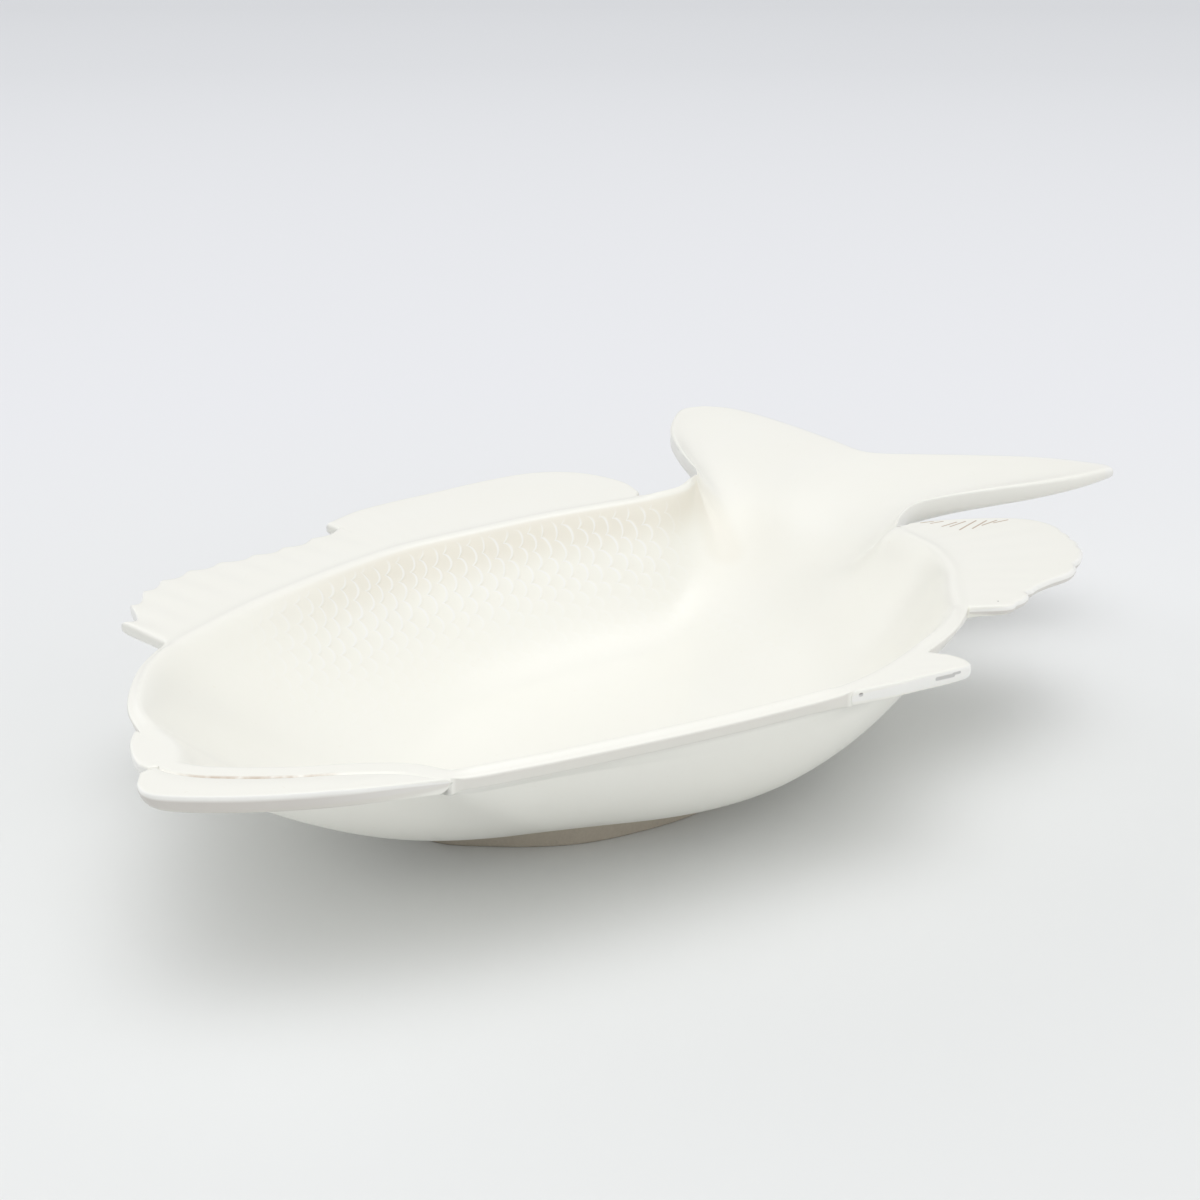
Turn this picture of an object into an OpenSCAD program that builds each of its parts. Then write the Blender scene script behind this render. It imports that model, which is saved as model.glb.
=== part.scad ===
// Fish shaped platter in glazed ceramic.
// The fish lies on its side with its head towards -X and its back towards +Y.
// The origin is on the table, under the middle of the overall length and width.
// Every section of the casting is a sheet of clay between an upper and a lower face,
// and neighbours share the points along their seam, so they meet face to face.

/* [Overall size] */
// Length from the lower lip to the tip of the tail
platter_l = 500; // [350:5:650]
// Width across the fins
platter_w = 292; // [210:2:380]
// Height of the rim above the table
rim_h = 73.5; // [50:0.5:100]

/* [Dish] */
// Thickness of the wall, the fins and the tail
wall_t = 5.5; // [4:0.5:7]
// Thickness of the floor
floor_t = 5.5; // [4:0.5:9]
// Height of the rolled ridge along the rim above the fins
ridge_h = 1.25; // [0.5:0.25:4]
// Width of the rolled ridge along the rim
ridge_w = 7; // [5:0.5:10]

/* [Foot ring] */
// Height of the foot ring under the floor
foot_h = 10; // [5:0.5:14]
// Width of the foot ring
foot_w = 7; // [4:0.5:12]

/* [Lips] */
// Rise of the lower lip above the groove of the mouth
jaw_rise = 3.5; // [1:0.5:6]
// Rise of the upper lip above the rim's edge
lip_rise = 2; // [1:0.5:4]
// Drop of the jaw's underside below the fins' underside
jaw_drop = 0; // [0:0.5:4]

/* [Fins] */
// Thickness of the outer edge of the rear belly fin
anal_t = 4; // [3:0.25:5]
// Drop of the front tip of the back fin
spine_droop = 1.5; // [0:0.25:4]
// Rounding of the outer edge of the fins and the tail
edge_round = 1.2; // [0.5:0.1:1.8]
// Height of the rays on the fins and the tail
ray_h = 0.7; // [0.3:0.1:1.5]
// Number of spines along the front part of the back fin
spine_count = 9; // [5:1:14]
// Depth of the notches between the spines
spine_notch = 3.5; // [1:0.5:6]
// Number of rays on the rear part of the back fin
soft_rays = 13; // [6:1:15]
// Number of rays on the rear belly fin
anal_rays = 11; // [6:1:15]
// Number of rays on the front belly fin
pelvic_rays = 5; // [3:1:6]

/* [Tail] */
// Depth of the tail's channel where it runs into the dish
channel_depth = 27; // [10:1:36]
// Extra depth of the tail's edge under its root
tail_skirt = 4; // [0:0.5:8]
// Number of rays across the tail
tail_rays = 12; // [6:1:15]
// Rise of the near tip of the tail
tip_rise = 1.5; // [0:0.25:3]

/* [Hidden] */

// Points of an outline are shares of the overall length, counted back from the snout,
// and of the overall width, counted from its middle towards the back of the fish.

// The dish, from the far corner of the tail's root along the back, round the head,
// along the belly and across the root of the tail
body_shares = [
    [0.719, 0.219], [0.679, 0.206], [0.635, 0.222], [0.593, 0.248], [0.539, 0.281],
    [0.482, 0.306], [0.430, 0.327], [0.392, 0.338], [0.335, 0.338], [0.283, 0.331],
    [0.234, 0.321], [0.188, 0.303], [0.148, 0.283], [0.112, 0.248], [0.083, 0.199],
    [0.062, 0.149], [0.049, 0.094], [0.043, 0.049], [0.028, 0.007], [0.035, -0.034],
    [0.053, -0.075], [0.076, -0.117], [0.102, -0.156], [0.123, -0.197], [0.136, -0.246],
    [0.177, -0.285], [0.226, -0.323], [0.281, -0.363], [0.343, -0.404], [0.402, -0.437],
    [0.449, -0.446], [0.498, -0.441], [0.549, -0.429], [0.592, -0.403], [0.627, -0.363],
    [0.665, -0.320], [0.695, -0.264], [0.710, -0.209], [0.719, -0.157], [0.723, -0.085],
    [0.724, -0.007], [0.724, 0.072], [0.722, 0.146]];
// First and last point of the dish's outline that each section grows from
soft_root = [2, 7];
spiny_root = [7, 12];
lip_root = [16, 18];
jaw_root = [18, 24];
pelvic_root = [29, 31];
anal_root = [33, 38];
tail_root = [38, 43];

// Outer edges of the sections, in the same direction as the dish's outline
soft_shares = [[0.646, 0.235], [0.659, 0.287], [0.658, 0.350], [0.644, 0.402], [0.616, 0.439],
    [0.570, 0.462], [0.520, 0.477], [0.474, 0.492], [0.436, 0.500], [0.408, 0.499]];
spiny_shares = [[0.404, 0.459], [0.348, 0.452], [0.306, 0.462], [0.263, 0.478], [0.222, 0.478],
    [0.188, 0.451], [0.154, 0.397]];
lip_shares = [[0.047, 0.100], [0.036, 0.080], [0.027, 0.054], [0.022, 0.030], [0.022, 0.013]];
jaw_shares = [[0.013, 0.004], [0.002, -0.020], [0.001, -0.048], [0.019, -0.090], [0.046, -0.138],
    [0.082, -0.188], [0.121, -0.231]];
pelvic_shares = [[0.404, -0.445], [0.432, -0.461], [0.463, -0.481], [0.484, -0.495],
    [0.498, -0.500], [0.504, -0.483], [0.501, -0.456]];
anal_shares = [[0.591, -0.416], [0.617, -0.442], [0.644, -0.442], [0.665, -0.434],
    [0.688, -0.437], [0.715, -0.444], [0.745, -0.430], [0.774, -0.409], [0.795, -0.373],
    [0.810, -0.334], [0.812, -0.297], [0.799, -0.258], [0.774, -0.216], [0.748, -0.181],
    [0.728, -0.165]];
tail_near_shares = [[0.719, -0.157], [0.753, -0.131], [0.789, -0.119], [0.824, -0.137],
    [0.866, -0.174], [0.909, -0.216], [0.953, -0.252], [0.994, -0.275]];
tail_far_shares = [[0.719, 0.219], [0.740, 0.248], [0.763, 0.300], [0.793, 0.363], [0.827, 0.424],
    [0.866, 0.471], [0.898, 0.496], [0.923, 0.479]];
tail_rear_shares = [[0.994, -0.275], [1.000, -0.248], [0.984, -0.157], [0.951, -0.069],
    [0.919, 0.004], [0.896, 0.059], [0.892, 0.098], [0.904, 0.160], [0.921, 0.258],
    [0.934, 0.359], [0.936, 0.431], [0.923, 0.479]];
// The foot ring's outer edge
foot_shares = [[0.246, 0.006], [0.272, -0.073], [0.313, -0.144], [0.363, -0.187], [0.414, -0.210],
    [0.467, -0.207], [0.508, -0.166], [0.535, -0.100], [0.546, -0.022], [0.538, 0.051],
    [0.504, 0.095], [0.448, 0.119], [0.387, 0.123], [0.329, 0.109], [0.282, 0.071]];

// Middle of the dish, towards which its wall runs down
centre_share = [0.391, -0.124];
// Reach of the flat underside from the middle: its average, then how much further it goes
// to the tail, to the back, along the fish and along its slanting lines
reach_shares = [0.163, 0.025, 0.08, -0.025, -0.01];
// Reach of the flat floor as a share of the reach of the flat underside
floor_share = 0.92;
// How full the wall is: its height grows with this power of the way out from the floor,
// which is higher towards the tail and the back
bowl_power = 2.25;
tail_power = 0.75;
back_power = 0.25;
// How full the wall is under the tail's channel, which runs down to the floor as a ramp
root_power = 1.5;
// Rings of the wall: shares of the way from the floor's or the underside's edge to the rim
inner_shares = [1, 0.93, 0.85, 0.76, 0.66, 0.55, 0.42, 0.25, 0];
outer_shares = [1, 0.92, 0.83, 0.73, 0.62, 0.49, 0.34, 0.17];
// Section of the rolled ridge: share of its width, share of its height
ridge_shares = [[0, 0], [0.14, 0.66], [0.4, 1], [0.76, 0.62]];
// Rows of a fin or a lip from its root to its edge
row_shares = [0, 0.15, 0.35, 0.6, 0.82, 0.94, 1];
// Rows of the tail from its root to its rear edge
tail_row_shares = [0, 0.08, 0.16, 0.25, 0.35, 0.46, 0.58, 0.7, 0.81, 0.9, 0.96, 1];

// Steps between two points of an outline, and columns of a fin for each such step
curve_step_count = 3;
fin_column_count = 4;
lip_column_count = 2;
// How steeply the tail's channel falls at its two banks, and how soon it fades towards the lobes
bank_power = 2.6;
fade_power = 1.7;
// Fall of the channel across the rim, for each millimetre towards the dish
root_fall = 0.5;

function place(share) = [(share[0] - 1 / 2) * platter_l, share[1] * platter_w];
function places(shares) = [for (s = shares) place(s)];
function blend(a, b, t) = a * (1 - t) + b * t;

// A smooth curve through points: the stretch from b to c
function stretch(a, b, c, d, t) =
    (b * 2 + (c - a) * t + (a * 2 - b * 5 + c * 4 - d) * t * t + (b * 3 - a - c * 3 + d) * t * t * t) / 2;
function closed_curve(p, steps) = let (n = len(p)) [
    for (i = [0 : n - 1])
        for (j = [0 : steps - 1])
            stretch(p[(i + n - 1) % n], p[i], p[(i + 1) % n], p[(i + 2) % n], j / steps)];
function on_curve(p, t) = let (n = len(p) - 1, i = min(n - 1, floor(t * n)))
    stretch(i > 0 ? p[i - 1] : p[0] * 2 - p[1], p[i], p[i + 1],
        i < n - 1 ? p[i + 2] : p[n] * 2 - p[n - 1], t * n - i);
function open_curve(p, count) = [for (i = [0 : count]) on_curve(p, i / count)];

centre = place(centre_share);
body = closed_curve(places(body_shares), curve_step_count);
body_n = len(body);
edge_z = rim_h - ridge_h;
floor_z = foot_h + floor_t;

// The outline moved inwards, at one of its points
function inward(i) = let (t = body[(i + 1) % body_n] - body[(i + body_n - 1) % body_n])
    [-t[1], t[0]] / norm(t);
function inset(i, d) = body[i] + inward(i) * d;

// How far a point of the outline lies within a stretch of it, rising to 1 within one step at each end
function within(i, span) = let (at = i / curve_step_count)
    max(0, min(1, at - span[0], span[1] - at));
// Depth of the channel across the tail's root, from 0 to 1 at its banks
function channel(t) = t <= 0 || t >= 1 ? 0 : 1 - pow(abs(2 * t - 1), bank_power);
function root_channel(i) = channel((i / curve_step_count - tail_root[0]) / (tail_root[1] - tail_root[0]));

function edge_height(i) = edge_z - channel_depth * root_channel(i);
function rim_height(i) = edge_height(i) - root_fall * ridge_w * root_channel(i);
function ridge_height(i) = ridge_h * (1 - within(i, tail_root))
    * (1 - within(i, [lip_root[0], jaw_root[1]]));

// Where the ridge meets the wall, and its direction from the middle
rim = [for (i = [0 : body_n - 1]) inset(i, ridge_w)];
turn = [for (p = rim) atan2((p - centre)[1] / platter_w, (p - centre)[0] / platter_l)];
// Edge of the flat underside and of the floor, as shares of the way from the middle to the rim
flat_edge = [for (i = [0 : body_n - 1]) let (a = turn[i])
    reach_shares * [1, cos(a), sin(a), cos(2 * a), sin(2 * a)]
        / norm([(rim[i] - centre)[0] / platter_l, (rim[i] - centre)[1] / platter_w])];
floor_edge = flat_edge * floor_share;
power = [for (i = [0 : body_n - 1])
    blend(bowl_power + tail_power * cos(turn[i]) + back_power * sin(turn[i]), root_power, root_channel(i))];

function raise(p, z) = [p[0], p[1], z];
// The wall's upper and lower face at a share k of the way from the middle to the rim
function rising(i, k) = max(0, (k - floor_edge[i]) / (1 - floor_edge[i]));
function upper_point(i, k) =
    raise(blend(centre, rim[i], k), blend(floor_z, rim_height(i), pow(rising(i, k), power[i])));
function slope(i, k) = (rim_height(i) - floor_z) * power[i] * pow(rising(i, k), power[i] - 1)
    / (1 - floor_edge[i]) / norm(rim[i] - centre);
function lower_point(i, k) = let (p = upper_point(i, k))
    raise(p, p[2] - wall_t * sqrt(1 + pow(slope(i, k), 2)));

function ridge_ring(s) = [for (i = [0 : body_n - 1])
    raise(inset(i, s[0] * ridge_w), blend(edge_height(i), rim_height(i), s[0]) + s[1] * ridge_height(i))];

// A closed skin through rings that are stacked from the upper middle round to the lower middle
module ringed_solid(top, rings, bottom) {
    n = len(rings[0]);
    m = len(rings);
    points = concat([top], [for (r = rings) each r], [bottom]);
    faces = concat(
        [for (i = [0 : n - 1]) [0, 1 + (i + 1) % n, 1 + i]],
        [for (r = [0 : m - 2])
            for (i = [0 : n - 1])
                let (a = 1 + r * n + i, b = 1 + r * n + (i + 1) % n)
                    each [[a, b, a + n], [b, b + n, a + n]]],
        [for (i = [0 : n - 1])
            [1 + m * n, 1 + (m - 1) * n + i, 1 + (m - 1) * n + (i + 1) % n]]);
    polyhedron(points, faces);
}

// A closed sheet between an upper and a lower grid of points, by columns and rows
module sheet(upper, lower) {
    n = len(upper) - 1;
    m = len(upper[0]) - 1;
    w = m + 1;
    low = (n + 1) * w;
    points = concat([for (c = upper) each c], [for (c = lower) each c]);
    faces = concat(
        [for (i = [0 : n - 1])
            for (j = [0 : m - 1])
                let (a = i * w + j, b = a + w)
                    each [[a, b, a + 1], [b, b + 1, a + 1],
                        [low + a, low + a + 1, low + b], [low + b, low + a + 1, low + b + 1]]],
        [for (i = [0 : n - 1])
            let (a = i * w, b = a + w, c = a + m, d = b + m)
                each [[a, low + a, b], [b, low + a, low + b], [c, d, low + c], [d, low + d, low + c]]],
        [for (j = [0 : m - 1])
            let (a = j, c = n * w + j)
                each [[a, a + 1, low + a], [a + 1, low + a + 1, low + a],
                    [c, low + c, c + 1], [c + 1, low + c, low + c + 1]]]);
    polyhedron(points, faces);
}

// A stretch of the dish's outline, each side of it cut into equal columns
function root_points(span, columns) = [
    for (i = [span[0] * curve_step_count : span[1] * curve_step_count - 1])
        for (j = [0 : columns - 1])
            blend(body[i % body_n], body[(i + 1) % body_n], j / columns),
    body[(span[1] * curve_step_count) % body_n]];

// Rounding of a fin's edge, from 0 inside to 1 at its last row
function rounding(v) = v < row_shares[5] ? 0 : v < 1 ? 1 / 4 : 1;
// Rays: gentle waves that fade at the root and at the edge
function ray(t, v, count) = ray_h * sin(180 * v) * (1 - cos(360 * t * count)) / 2;

// A fin between the dish's outline and its own outer edge
module fin(span, shares, rays, edge_t = wall_t, notches = 0, droop = 0) {
    root = root_points(span, fin_column_count);
    n = len(root) - 1;
    edge = open_curve(places(shares), n);
    tips = [for (i = [0 : n])
        let (way = root[i] - edge[i], cut = notches > 0 ? spine_notch * abs(sin(180 * notches * i / n)) : 0)
            edge[i] + way / norm(way) * min(cut, norm(way) / 2)];
    level = [for (i = [0 : n]) [for (v = row_shares) edge_z - droop * v * pow(i / n, 2)]];
    sheet(
        [for (i = [0 : n]) [for (j = [0 : len(row_shares) - 1]) let (v = row_shares[j])
            raise(blend(root[i], tips[i], v),
                level[i][j] - edge_round * rounding(v) + ray(i / n, v, rays))]],
        [for (i = [0 : n]) [for (j = [0 : len(row_shares) - 1]) let (v = row_shares[j])
            raise(blend(root[i], tips[i], v),
                level[i][j] - blend(wall_t, edge_t, v) + edge_round * rounding(v))]]);
}

// A rolled lip between the dish's outline and its own outer edge
module lip(span, shares, rise, drop) {
    root = root_points(span, lip_column_count);
    n = len(root) - 1;
    edge = open_curve(places(shares), n);
    ends = [for (i = [0 : n]) min(1, 4 * (1 - i / n))];
    tips = [for (i = [0 : n]) max(0, 1 - 5 / 2 * i / n)];
    sheet(
        [for (i = [0 : n]) [for (v = row_shares)
            raise(blend(root[i], edge[i], v),
                edge_z + rise * ends[i] * sqrt(sin(180 * v)) - edge_round * rounding(v))]],
        [for (i = [0 : n]) [for (v = row_shares)
            raise(blend(root[i], edge[i], v),
                edge_z - wall_t - drop * sqrt(sin(180 * v)) + rise * tips[i] * v
                    + edge_round * rounding(v))]]);
}

module basin() {
    color("ivory") ringed_solid(
        raise(centre, floor_z),
        concat(
            [[for (i = [0 : body_n - 1]) upper_point(i, floor_edge[i] / 2)]],
            [for (j = [len(inner_shares) - 1 : -1 : 0])
                [for (i = [0 : body_n - 1]) upper_point(i, blend(floor_edge[i], 1, inner_shares[j]))]],
            [for (j = [len(ridge_shares) - 1 : -1 : 0]) ridge_ring(ridge_shares[j])],
            [[for (i = [0 : body_n - 1]) raise(body[i], edge_height(i) - wall_t)]],
            [for (s = outer_shares)
                [for (i = [0 : body_n - 1]) lower_point(i, blend(flat_edge[i], 1, s))]],
            [[for (i = [0 : body_n - 1]) raise(blend(centre, rim[i], flat_edge[i]), foot_h)]]),
        raise(centre, foot_h));
}

module foot_ring() {
    edge = closed_curve(places(foot_shares), curve_step_count);
    n = len(edge);
    color("tan") linear_extrude(height = foot_h) difference() {
        polygon(edge);
        polygon([for (i = [0 : n - 1])
            let (t = edge[(i + 1) % n] - edge[(i + n - 1) % n])
                edge[i] + [-t[1], t[0]] / norm(t) * foot_w]);
    }
}

module lower_jaw() {
    color("linen") lip(jaw_root, jaw_shares, jaw_rise, jaw_drop);
}

module upper_lip() {
    color("seashell") lip(lip_root, lip_shares, lip_rise, 0);
}

module spiny_dorsal_fin() {
    color("cornsilk") fin(spiny_root, spiny_shares, spine_count, notches = spine_count, droop = spine_droop);
}

module soft_dorsal_fin() {
    color("beige") fin(soft_root, soft_shares, soft_rays);
}

module anal_fin() {
    color("cornsilk") fin(anal_root, anal_shares, anal_rays, edge_t = anal_t);
}

module pelvic_fin() {
    color("beige") fin(pelvic_root, pelvic_shares, pelvic_rays);
}

module tail_fin() {
    root = root_points(tail_root, fin_column_count);
    n = len(root) - 1;
    rear = open_curve(places(tail_rear_shares), n);
    near = [for (v = tail_row_shares) on_curve(places(tail_near_shares), v)];
    far = [for (v = tail_row_shares) on_curve(places(tail_far_shares), v)];
    m = len(tail_row_shares) - 1;
    // A patch stretched between the root, the two side edges and the rear edge
    plan = [for (i = [0 : n]) let (t = i / n) [for (j = [0 : m]) let (v = tail_row_shares[j])
        blend(root[i], rear[i], v) + blend(near[j], far[j], t)
            - blend(blend(root[0], root[n], t), blend(rear[0], rear[n], t), v)]];
    drop = [for (i = [0 : n]) let (t = i / n) [for (v = tail_row_shares)
        channel(t) * pow(1 - v, fade_power)]];
    curl = [for (i = [0 : n]) [for (v = tail_row_shares) tip_rise * pow((1 - i / n) * v, 2)]];
    edging = [for (i = [0 : n]) [for (j = [0 : m])
        j > 0 && (i == 0 || i == n || j == m) ? 1 : 0]];
    color("floralwhite") sheet(
        [for (i = [0 : n]) [for (j = [0 : m])
            raise(plan[i][j], edge_z - channel_depth * drop[i][j] - edge_round * edging[i][j]
                + curl[i][j] + ray(i / n, tail_row_shares[j], tail_rays))]],
        [for (i = [0 : n]) [for (j = [0 : m])
            raise(plan[i][j], edge_z + curl[i][j] - wall_t - channel_depth * drop[i][j]
                - tail_skirt * sin(180 * tail_row_shares[j]) + edge_round * edging[i][j])]]);
}

basin();
foot_ring();
lower_jaw();
upper_lip();
spiny_dorsal_fin();
soft_dorsal_fin();
tail_fin();
anal_fin();
pelvic_fin();
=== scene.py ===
"""The looks of the fish shaped platter: one slip-cast dish with fins, in creamy white glaze."""

import math

import bpy
import numpy as np
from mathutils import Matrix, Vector


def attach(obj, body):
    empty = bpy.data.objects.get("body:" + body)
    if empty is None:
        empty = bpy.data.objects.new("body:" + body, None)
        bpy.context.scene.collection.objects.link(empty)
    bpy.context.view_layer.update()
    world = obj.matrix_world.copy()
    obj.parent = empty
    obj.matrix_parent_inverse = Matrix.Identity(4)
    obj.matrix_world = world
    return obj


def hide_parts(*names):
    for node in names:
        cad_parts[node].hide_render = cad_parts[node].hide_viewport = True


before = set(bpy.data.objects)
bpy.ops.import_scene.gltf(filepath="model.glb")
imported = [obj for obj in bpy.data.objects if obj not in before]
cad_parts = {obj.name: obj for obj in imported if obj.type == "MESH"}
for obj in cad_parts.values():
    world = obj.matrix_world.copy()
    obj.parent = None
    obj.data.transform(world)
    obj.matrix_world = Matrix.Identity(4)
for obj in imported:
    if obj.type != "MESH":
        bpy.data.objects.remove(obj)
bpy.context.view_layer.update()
scene = bpy.context.scene
scene.view_settings.view_transform = "Standard"

# ---------------------------------------------------------------- camera
# The photograph's frame is 1200 wide and 1200 high; its lens is 1700 of those steps long.
FRAME_STEPS, LENS_STEPS, SENSOR = 1200, 1700, 36.0
LOOK_DOWN = math.radians(21.5)
AHEAD = Vector((0.751, 0.660, 0)).normalized()
EYE = Vector((-0.49806, -0.40922, 0.3117))

lens = bpy.data.cameras.new("lens")
lens.sensor_width = SENSOR
lens.lens = SENSOR * LENS_STEPS / FRAME_STEPS
lens.clip_start, lens.clip_end = 0.01, 60
camera = bpy.data.objects.new("camera", lens)
camera.location = EYE
gaze = AHEAD * math.cos(LOOK_DOWN) - Vector((0, 0, math.sin(LOOK_DOWN)))
camera.rotation_euler = gaze.to_track_quat("-Z", "Y").to_euler()
scene.collection.objects.link(camera)
scene.camera = camera


# ---------------------------------------------------------------- node trees as expressions
class Worth:
    """One socket's worth, a number over the surface, that Python's signs carry on."""

    def __init__(self, bench, socket):
        self.bench, self.socket = bench, socket

    def _sum(self, operation, *parts):
        return self.bench.add("ShaderNodeMath", {"operation": operation}, dict(enumerate(parts)))

    def __add__(self, b): return self._sum("ADD", self, b)
    def __radd__(self, b): return self._sum("ADD", b, self)
    def __sub__(self, b): return self._sum("SUBTRACT", self, b)
    def __rsub__(self, b): return self._sum("SUBTRACT", b, self)
    def __mul__(self, b): return self._sum("MULTIPLY", self, b)
    def __rmul__(self, b): return self._sum("MULTIPLY", b, self)
    def __truediv__(self, b): return self._sum("DIVIDE", self, b)
    def __rtruediv__(self, b): return self._sum("DIVIDE", b, self)
    def __pow__(self, b): return self._sum("POWER", self, b)
    def __gt__(self, b): return self._sum("GREATER_THAN", self, b)
    def floor(self): return self._sum("FLOOR", self)
    def fract(self): return self._sum("FRACT", self)
    def sine(self): return self._sum("SINE", self)
    def least(self, b): return self._sum("MINIMUM", self, b)
    def most(self, b): return self._sum("MAXIMUM", self, b)
    def rise(self, low, high):
        """0 up to low, 1 from high on, smooth between."""
        return self.bench.add("ShaderNodeMapRange", {"interpolation_type": "SMOOTHSTEP"},
                              {"Value": self, "From Min": low, "From Max": high})


class Bench:
    """Lays nodes into one tree."""

    def __init__(self, tree):
        self.tree = tree
        self.tree.nodes.clear()

    def add(self, kind, settings=None, sockets=None, out=None):
        node = self.tree.nodes.new(kind)
        for name, value in (settings or {}).items():
            if name == "stops":
                ramp = node.color_ramp.elements
                for i, (at, colour) in enumerate(value):
                    stop = ramp[i] if i < len(ramp) else ramp.new(at)
                    stop.position, stop.color = at, (*colour, 1)
            else:
                setattr(node, name, value)
        for name, value in (sockets or {}).items():
            socket = node.inputs[name]
            if isinstance(value, Worth):
                self.tree.links.new(value.socket, socket)
            else:
                socket.default_value = value
        if not node.outputs:
            return None
        found = node.outputs[out] if out else next(o for o in node.outputs if o.enabled)
        return Worth(self, found)

    def parts(self, vector):
        """The three parts of a vector."""
        split = self.add("ShaderNodeSeparateXYZ", None, {0: vector}).socket.node
        return [Worth(self, o) for o in split.outputs]

    def vector(self, operation, *inputs, out=None, scale=None):
        sockets = dict(enumerate(inputs))
        if scale is not None:
            sockets["Scale"] = scale
        return self.add("ShaderNodeVectorMath", {"operation": operation}, sockets, out)

    def fact(self, name, out="Fac"):
        return self.add("ShaderNodeAttribute", {"attribute_name": name}, None, out)

    def grain(self, where, scale, detail=2.0, out="Fac"):
        return self.add("ShaderNodeTexNoise", None, {"Vector": where, "Scale": scale, "Detail": detail}, out)

    def blend(self, share, a, b):
        """Colour a turning to colour b by a share."""
        mix = self.add("ShaderNodeMix", {"data_type": "RGBA"}, {0: share}).socket.node
        for i, colour in ((6, a), (7, b)):
            if isinstance(colour, Worth):
                self.tree.links.new(colour.socket, mix.inputs[i])
            else:
                mix.inputs[i].default_value = (*colour, 1)
        return Worth(self, mix.outputs[2])


# ---------------------------------------------------------------- the pressed scales
SCALE_LONG, SCALE_ACROSS = 7.1, 6.8  # mm from one scale to the next, along and across the fish
TILE_BULGE, TILE_ROUNDNESS = 0.55, 0.6  # how far a scale reaches over the next one, and the curve of its edge
TILE_STEP = 0.22  # share of a scale's length in which the next one rises
SWAY, SWAY_PER_MM = 5.0, 0.055  # mm that the rows wander, and how often


def scale_tiles(bench, place):
    """Height of the overlapping scales, 0 to 1, and a line along their free edges, where thin glaze and a
    painted highlight go.

    place holds millimetres along the fish and across it, laid over the wall."""
    sway = bench.vector("SUBTRACT", bench.grain(place, SWAY_PER_MM, 1.0, out="Color"), (0.5, 0.5, 0.5))
    swayed = bench.vector("ADD", place, bench.vector("MULTIPLY", sway, (SWAY, SWAY, 0.0)))
    along, across, _ = bench.parts(swayed)
    along, across = along / SCALE_LONG, across / SCALE_ACROSS
    column = along.floor()
    t = along - column
    own = (across + column * 0.5).fract() - 0.5
    over = (across + column * 0.5 + 0.5).fract() - 0.5

    def reach(d):
        return (1 - d * d * 4).most(0) ** TILE_ROUNDNESS * TILE_BULGE

    covered = (t + 1) / (1 + reach(over))
    gap = t - reach(over)
    shows = gap > 0
    step = gap.rise(0, TILE_STEP)
    height = covered * (1 - shows) + (1 + (t / (1 + reach(own)) - 1) * step) * shows
    line = covered.rise(0.78, 1) * (1 - shows) + (1 - step) * shows
    return height, line


# ---------------------------------------------------------------- glaze and clay
CREAM, CREAM_CLOUD = (0.93, 0.922, 0.855), (0.937, 0.93, 0.872)
# The thin glaze's colour also serves as a painted highlight on the scales' edges; the pooled colour also serves
# as painted shade under the far rim and in the far corner.
THIN_GLAZE_AND_GLINT, POOLED_GLAZE_AND_SHADE = (0.95, 0.947, 0.925), (0.83, 0.785, 0.68)
# The face tone is painted shade on faces that lean under.
BREAK_BROWN, FACE_SHADE, CRACK = (0.42, 0.28, 0.17), (0.52, 0.475, 0.43), (0.05, 0.03, 0.02)
BARE, BARE_GRIT = (0.46, 0.41, 0.33), (0.55, 0.495, 0.41)
# Marks in the glaze, in millimetres: from and to on the plan, height or None, half width, share, colour
MARKS = [
    (-16.1, -141.4, -9.5, -144.1, 70.0, 1.0, 1.0, CRACK),
    (-9.5, -144.1, -6.8, -144.9, 70.5, 0.7, 1.0, CRACK),
    (-45.8, -129.3, -45.4, -129.5, 70.5, 0.9, 0.9, CRACK),
    (58.2, -123.6, 58.4, -123.5, None, 0.45, 0.6, CRACK),
    # Painted shade in the corner below the tail's far lobe, and a darker patch behind the soft fin's rear edge
    (112.0, 60.0, 100.0, 40.0, None, 13.0, 0.3, POOLED_GLAZE_AND_SHADE),
    (90.0, 92.0, 83.0, 82.0, None, 7.0, 0.3, POOLED_GLAZE_AND_SHADE)]
# Brown strokes along the far edge of the rear belly fin: from and to on the plan
STROKE_HALF, STROKE_SHARE = 0.55, 0.75
STROKES = [
    (147.8, -78.6, 140.2, -76.0), (143.9, -75.3, 133.9, -73.9), (140.6, -72.2, 127.4, -72.9),
    (137.6, -68.8, 122.1, -69.7), (133.7, -65.8, 123.1, -64.5), (130.3, -63.4, 121.2, -61.7),
    (127.3, -58.5, 121.2, -56.0), (124.5, -55.3, 119.3, -52.3), (122.4, -50.8, 116.5, -47.7)]
MARKS += [(*stroke, None, STROKE_HALF, STROKE_SHARE, BREAK_BROWN) for stroke in STROKES]
# The satin patch in the corner below the tail's far lobe: its middle and reach in millimetres, and the tone of
# the painted shade that dims its highlight
SATIN_AT, SATIN_REACH, SATIN_SHADE = (104, 38), 42, (0.88, 0.86, 0.785)
GLAZE_ROUGH, GLAZE_COAT, WAVE_DEPTH, TILE_DEPTH = 0.3, 0.24, 0.0006, 0.0004
GLAZE_LINE = 0.0078, 0.0086  # metres above the table, where the foot's glaze starts and is whole


def new_material(name):
    """A material, the bench for its nodes, and the place on the piece."""
    material = bpy.data.materials.new(name)
    material.use_nodes = True
    bench = Bench(material.node_tree)
    return material, bench, bench.add("ShaderNodeTexCoord", None, None, "Object")


def surface(bench, colour, rough, normal, coat):
    body = bench.add("ShaderNodeBsdfPrincipled", None, {
        "Base Color": colour, "Roughness": rough, "IOR": 1.5, "Coat Weight": coat,
        "Coat Roughness": 0.06, "Normal": normal})
    bench.add("ShaderNodeOutputMaterial", None, {"Surface": body})


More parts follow.
